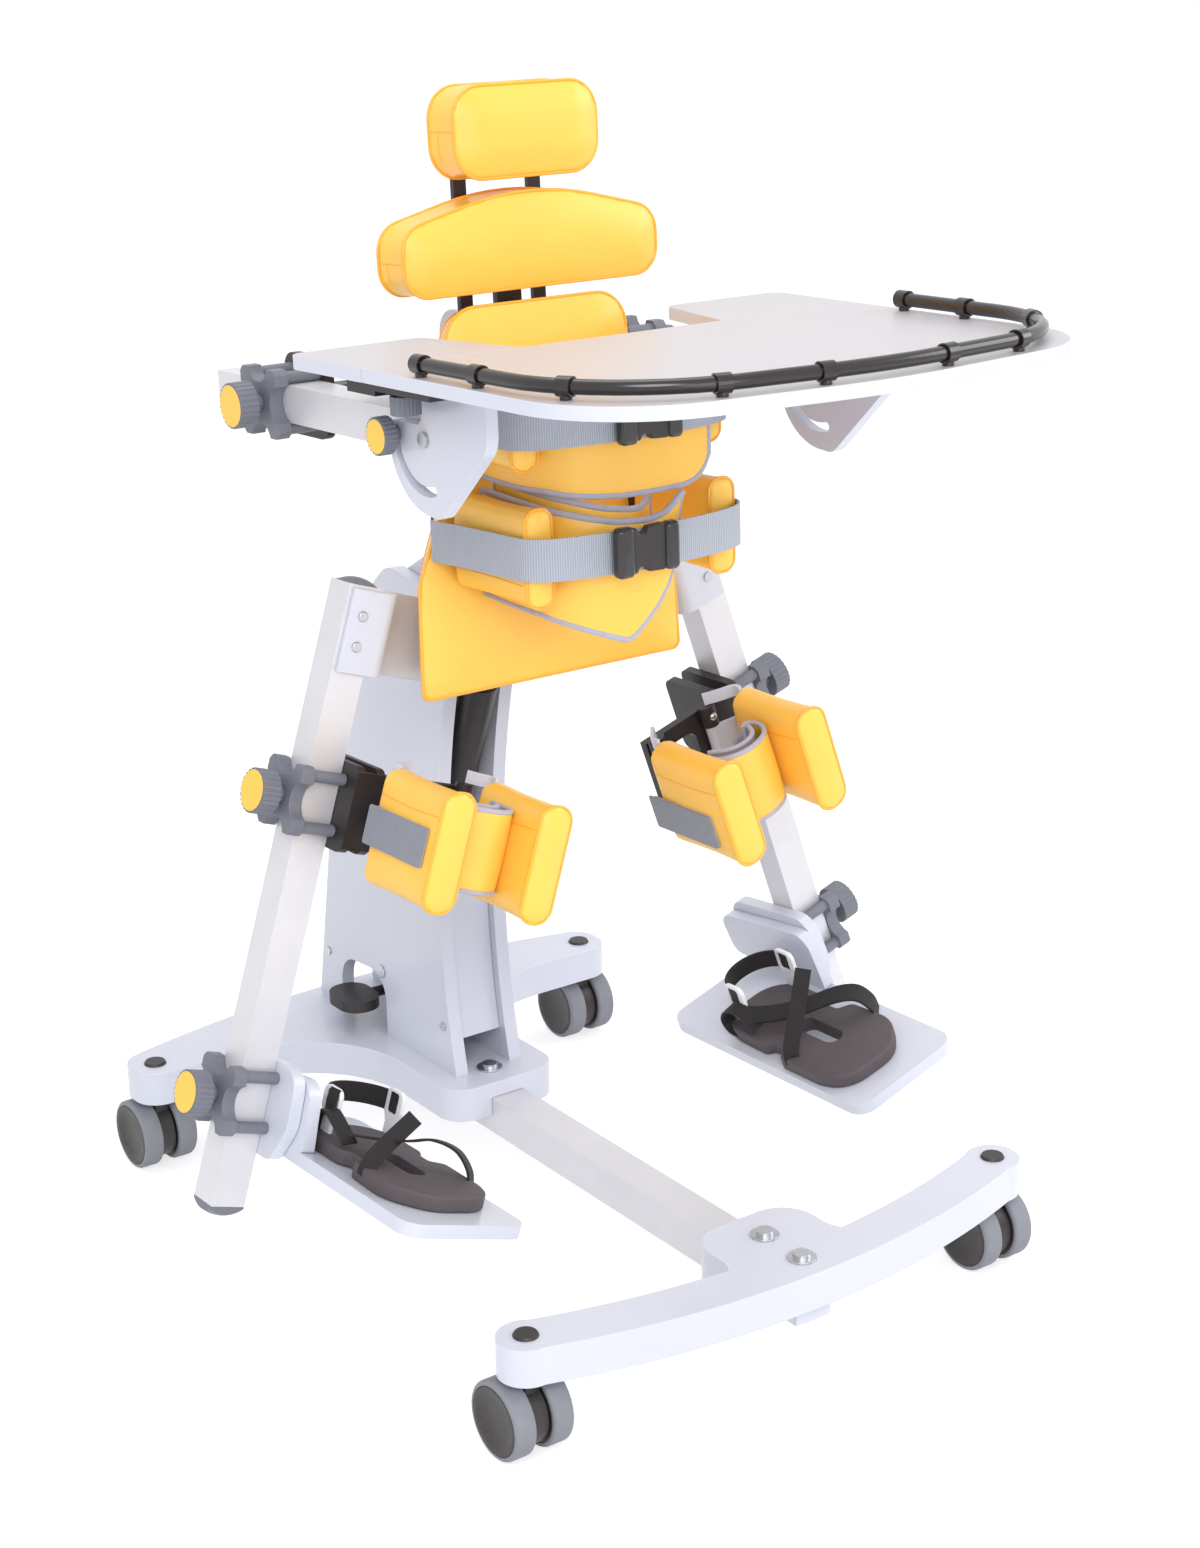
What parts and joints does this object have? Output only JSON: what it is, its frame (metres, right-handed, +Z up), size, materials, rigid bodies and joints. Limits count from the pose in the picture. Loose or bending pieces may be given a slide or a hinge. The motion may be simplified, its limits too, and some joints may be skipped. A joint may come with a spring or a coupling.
{
  "type": "standing frame",
  "caption": "Child's standing frame on swivel casters: tilting mast with padded supports and harness, spreading legs with knee and foot carriages, and a railed tilting tray.",
  "frame": {"origin": "on the floor under the middle of the frame's bounding box", "axes": "+X to the user's left, -Y forward over the tray, +Z up"},
  "size_m": [0.8298, 0.9248, 1.1452],
  "materials": {
    "painted_board": "light grey gloss paint on board",
    "painted_steel": "light grey powder coat",
    "black_steel": "black powder coat",
    "bare_aluminium": "satin anodised",
    "zinc_steel": "bright zinc",
    "grey_plastic": "moulded dark grey",
    "black_plastic": "moulded black",
    "grey_rubber": "grey tread on dark rims",
    "yellow_vinyl": "smooth yellow vinyl over foam",
    "harness_fabric": "yellow padded cloth with grey belts",
    "black_rubber": "black sandal sole and straps"
  },
  "bodies": {
    "base": {"rear_base": "painted_board", "front_bar": "painted_board", "spine_tube": "bare_aluminium", "base_fasteners": "zinc_steel", "column_plates": "painted_board", "column_panels": "painted_board"},
    "caster_fl": {"caster_housing_fl": "black_plastic"},
    "wheels_fl": {"caster_wheels_fl": "grey_rubber"},
    "caster_fr": {"caster_housing_fr": "black_plastic"},
    "wheels_fr": {"caster_wheels_fr": "grey_rubber"},
    "caster_rl": {"caster_housing_rl": "black_plastic"},
    "wheels_rl": {"caster_wheels_rl": "grey_rubber"},
    "caster_rr": {"caster_housing_rr": "black_plastic"},
    "wheels_rr": {"caster_wheels_rr": "grey_rubber"},
    "pedal": {"foot_pedal": "black_plastic"},
    "mast": {"mast_plates": "painted_board", "mast_frame": "black_steel", "back_pad": "yellow_vinyl", "shoulder_pad": "yellow_vinyl", "side_pads": "yellow_vinyl", "harness": "harness_fabric", "tray_clamps": "grey_plastic"},
    "strut_rod": {"strut_rod": "zinc_steel"},
    "strut_cylinder": {"strut_cylinder": "black_steel"},
    "headrest": {"headrest_bars": "black_steel", "headrest_pad": "yellow_vinyl"},
    "leg_left": {"leg_tube_left": "bare_aluminium", "hip_bracket_left": "painted_steel"},
    "knee_left": {"knee_clamp_left": "grey_plastic", "knee_carrier_left": "black_steel"},
    "knee_knob_left": {"knee_knob_left": "grey_plastic"},
    "knee_outer_left": {"knee_pad_outer_left": "yellow_vinyl"},
    "knee_inner_left": {"knee_pad_inner_left": "yellow_vinyl"},
    "foot_left": {"foot_clamp_left": "grey_plastic"},
    "foot_knob_left": {"foot_knob_left": "grey_plastic"},
    "foot_plate_left": {"foot_plate_left": "painted_board", "sandal_left": "black_rubber"},
    "leg_right": {"leg_tube_right": "bare_aluminium", "hip_bracket_right": "painted_steel"},
    "knee_right": {"knee_clamp_right": "grey_plastic", "knee_carrier_right": "black_steel"},
    "knee_knob_right": {"knee_knob_right": "grey_plastic"},
    "knee_outer_right": {"knee_pad_outer_right": "yellow_vinyl"},
    "knee_inner_right": {"knee_pad_inner_right": "yellow_vinyl"},
    "foot_right": {"foot_clamp_right": "grey_plastic"},
    "foot_knob_right": {"foot_knob_right": "grey_plastic"},
    "foot_plate_right": {"foot_plate_right": "painted_board", "sandal_right": "black_rubber"},
    "tray_arms": {"tray_arms": "bare_aluminium"},
    "tray": {"tray_board": "painted_board", "tray_rail": "black_steel", "tilt_plates": "painted_board"},
    "arm_knob_left": {"arm_knob_left": "grey_plastic"},
    "tilt_knob_left": {"tilt_knob_left": "grey_plastic"},
    "wing_left": {"tray_wing_left": "painted_board"},
    "wing_knob_left": {"wing_knob_left": "grey_plastic"},
    "arm_knob_right": {"arm_knob_right": "grey_plastic"},
    "tilt_knob_right": {"tilt_knob_right": "grey_plastic"},
    "wing_right": {"tray_wing_right": "painted_board"},
    "wing_knob_right": {"wing_knob_right": "grey_plastic"}
  },
  "joints": [
    {"name": "caster_swivel_fl", "type": "hinge", "parent": "base", "child": "caster_fl", "pos_m": [0.28, -0.31496, 0.08], "axis": [0, 0, 1], "continuous": true},
    {"name": "wheel_spin_fl", "type": "hinge", "parent": "caster_fl", "child": "wheels_fl", "pos_m": [0.28, -0.30696, 0.0375], "axis": [1, 0, 0], "continuous": true},
    {"name": "caster_swivel_fr", "type": "hinge", "parent": "base", "child": "caster_fr", "pos_m": [-0.28, -0.31496, 0.08], "axis": [0, 0, 1], "continuous": true},
    {"name": "wheel_spin_fr", "type": "hinge", "parent": "caster_fr", "child": "wheels_fr", "pos_m": [-0.28, -0.30696, 0.0375], "axis": [1, 0, 0], "continuous": true},
    {"name": "caster_swivel_rl", "type": "hinge", "parent": "base", "child": "caster_rl", "pos_m": [0.28, 0.39004, 0.08], "axis": [0, 0, 1], "continuous": true},
    {"name": "wheel_spin_rl", "type": "hinge", "parent": "caster_rl", "child": "wheels_rl", "pos_m": [0.28, 0.39804, 0.0375], "axis": [1, 0, 0], "continuous": true},
    {"name": "caster_swivel_rr", "type": "hinge", "parent": "base", "child": "caster_rr", "pos_m": [-0.28, 0.39004, 0.08], "axis": [0, 0, 1], "continuous": true},
    {"name": "wheel_spin_rr", "type": "hinge", "parent": "caster_rr", "child": "wheels_rr", "pos_m": [-0.28, 0.39804, 0.0375], "axis": [1, 0, 0], "continuous": true},
    {"name": "pedal_press", "type": "hinge", "parent": "base", "child": "pedal", "pos_m": [0, 0.24304, 0.148], "axis": [-1, 0, 0], "range_deg": [0, 8], "stiffness_Nm_per_rad": 8, "springref_deg": -3.44},
    {"name": "recline", "type": "hinge", "parent": "base", "child": "mast", "pos_m": [0, 0.23804, 0.61], "axis": [-1, 0, 0], "range_deg": [-6, 15]},
    {"name": "strut_swing", "type": "hinge", "parent": "base", "child": "strut_rod", "pos_m": [0, 0.30804, 0.19], "axis": [1, 0, 0], "range_deg": [-2.28, 1.09]},
    {"name": "strut_slide", "type": "slide", "parent": "strut_rod", "child": "strut_cylinder", "axis": [0, -0.3809, 0.9246], "range_m": [-0.01046, 0.02466]},
    {"name": "headrest_height", "type": "slide", "parent": "mast", "child": "headrest", "axis": [0, 0.0602, 0.9982], "range_m": [-0.01, 0.06]},
    {"name": "abduction_left", "type": "hinge", "parent": "mast", "child": "leg_left", "pos_m": [0.088, 0.09129, 0.62], "axis": [0, -0.9994, 0.034], "range_deg": [-12, 8]},
    {"name": "knee_height_left", "type": "slide", "parent": "leg_left", "child": "knee_left", "axis": [-0.319, 0.0322, 0.9472], "range_m": [-0.09, 0.05]},
    {"name": "knee_clamp_turn_left", "type": "hinge", "parent": "knee_left", "child": "knee_knob_left", "pos_m": [0.31233, 0.06759, 0.52321], "axis": [0.9478, 0.0109, 0.3188], "range_deg": [0, 360]},
    {"name": "knee_outer_swing_left", "type": "hinge", "parent": "knee_left", "child": "knee_outer_left", "pos_m": [0.19101, 0.01373, 0.48419], "axis": [-0.319, 0.0322, 0.9472], "range_deg": [0, 25]},
    {"name": "knee_inner_swing_left", "type": "hinge", "parent": "knee_left", "child": "knee_inner_left", "pos_m": [0.12751, 0.013, 0.46283], "axis": [0.319, -0.0322, -0.9472], "range_deg": [0, 20]},
    {"name": "foot_height_left", "type": "slide", "parent": "leg_left", "child": "foot_left", "axis": [-0.319, 0.0322, 0.9472], "range_m": [-0.06, 0.08]},
    {"name": "foot_clamp_turn_left", "type": "hinge", "parent": "foot_left", "child": "foot_knob_left", "pos_m": [0.40578, 0.05814, 0.24567], "axis": [0.9478, 0.0109, 0.3188], "range_deg": [0, 360]},
    {"name": "ankle_tilt_left", "type": "hinge", "parent": "foot_left", "child": "foot_plate_left", "pos_m": [0.31964, 0.03705, 0.21421], "axis": [0.9478, 0.0109, 0.3188], "range_deg": [-10, 10]},
    {"name": "abduction_right", "type": "hinge", "parent": "mast", "child": "leg_right", "pos_m": [-0.088, 0.09129, 0.62], "axis": [0, 0.9994, -0.034], "range_deg": [-12, 8]},
    {"name": "knee_height_right", "type": "slide", "parent": "leg_right", "child": "knee_right", "axis": [0.319, 0.0322, 0.9472], "range_m": [-0.09, 0.05]},
    {"name": "knee_clamp_turn_right", "type": "hinge", "parent": "knee_right", "child": "knee_knob_right", "pos_m": [-0.31233, 0.06759, 0.52321], "axis": [-0.9478, 0.0109, 0.3188], "range_deg": [0, 360]},
    {"name": "knee_outer_swing_right", "type": "hinge", "parent": "knee_right", "child": "knee_outer_right", "pos_m": [-0.19101, 0.01373, 0.48419], "axis": [-0.319, -0.0322, -0.9472], "range_deg": [0, 25]},
    {"name": "knee_inner_swing_right", "type": "hinge", "parent": "knee_right", "child": "knee_inner_right", "pos_m": [-0.12751, 0.013, 0.46283], "axis": [0.319, 0.0322, 0.9472], "range_deg": [0, 20]},
    {"name": "foot_height_right", "type": "slide", "parent": "leg_right", "child": "foot_right", "axis": [0.319, 0.0322, 0.9472], "range_m": [-0.06, 0.08]},
    {"name": "foot_clamp_turn_right", "type": "hinge", "parent": "foot_right", "child": "foot_knob_right", "pos_m": [-0.40578, 0.05814, 0.24567], "axis": [-0.9478, 0.0109, 0.3188], "range_deg": [0, 360]},
    {"name": "ankle_tilt_right", "type": "hinge", "parent": "foot_right", "child": "foot_plate_right", "pos_m": [-0.31964, 0.03705, 0.21421], "axis": [0.9478, -0.0109, -0.3188], "range_deg": [-10, 10]},
    {"name": "tray_reach", "type": "slide", "parent": "mast", "child": "tray_arms", "axis": [0, -0.9994, 0.034], "range_m": [-0.04, 0.07]},
    {"name": "tray_tilt", "type": "hinge", "parent": "tray_arms", "child": "tray", "pos_m": [0, -0.11132, 0.87004], "axis": [1, 0, 0], "range_deg": [0, 60]},
    {"name": "arm_clamp_turn_left", "type": "hinge", "parent": "mast", "child": "arm_knob_left", "pos_m": [0.255, 0.17452, 0.86031], "axis": [1, 0, 0], "range_deg": [0, 360]},
    {"name": "tilt_clamp_turn_left", "type": "hinge", "parent": "tray_arms", "child": "tilt_knob_left", "pos_m": [0.24, -0.06634, 0.86851], "axis": [1, 0, 0], "range_deg": [0, 360]},
    {"name": "wing_slide_left", "type": "slide", "parent": "tray", "child": "wing_left", "axis": [0, 0.9994, -0.034], "range_m": [0, 0.04]},
    {"name": "wing_clamp_turn_left", "type": "hinge", "parent": "tray", "child": "wing_knob_left", "pos_m": [0.246, -0.11653, 0.89323], "axis": [0, 0.034, 0.9994], "range_deg": [0, 360]},
    {"name": "arm_clamp_turn_right", "type": "hinge", "parent": "mast", "child": "arm_knob_right", "pos_m": [-0.255, 0.17452, 0.86031], "axis": [-1, 0, 0], "range_deg": [0, 360]},
    {"name": "tilt_clamp_turn_right", "type": "hinge", "parent": "tray_arms", "child": "tilt_knob_right", "pos_m": [-0.24, -0.06634, 0.86851], "axis": [-1, 0, 0], "range_deg": [0, 360]},
    {"name": "wing_slide_right", "type": "slide", "parent": "tray", "child": "wing_right", "axis": [0, 0.9994, -0.034], "range_m": [0, 0.04]},
    {"name": "wing_clamp_turn_right", "type": "hinge", "parent": "tray", "child": "wing_knob_right", "pos_m": [-0.246, -0.11653, 0.89323], "axis": [0, 0.034, 0.9994], "range_deg": [0, 360]}
  ],
  "couplings": [
    {"joint": "strut_swing", "follows": "recline", "ratio": -0.13225},
    {"joint": "strut_slide", "follows": "recline", "m_per_rad": 0.090365}
  ]
}
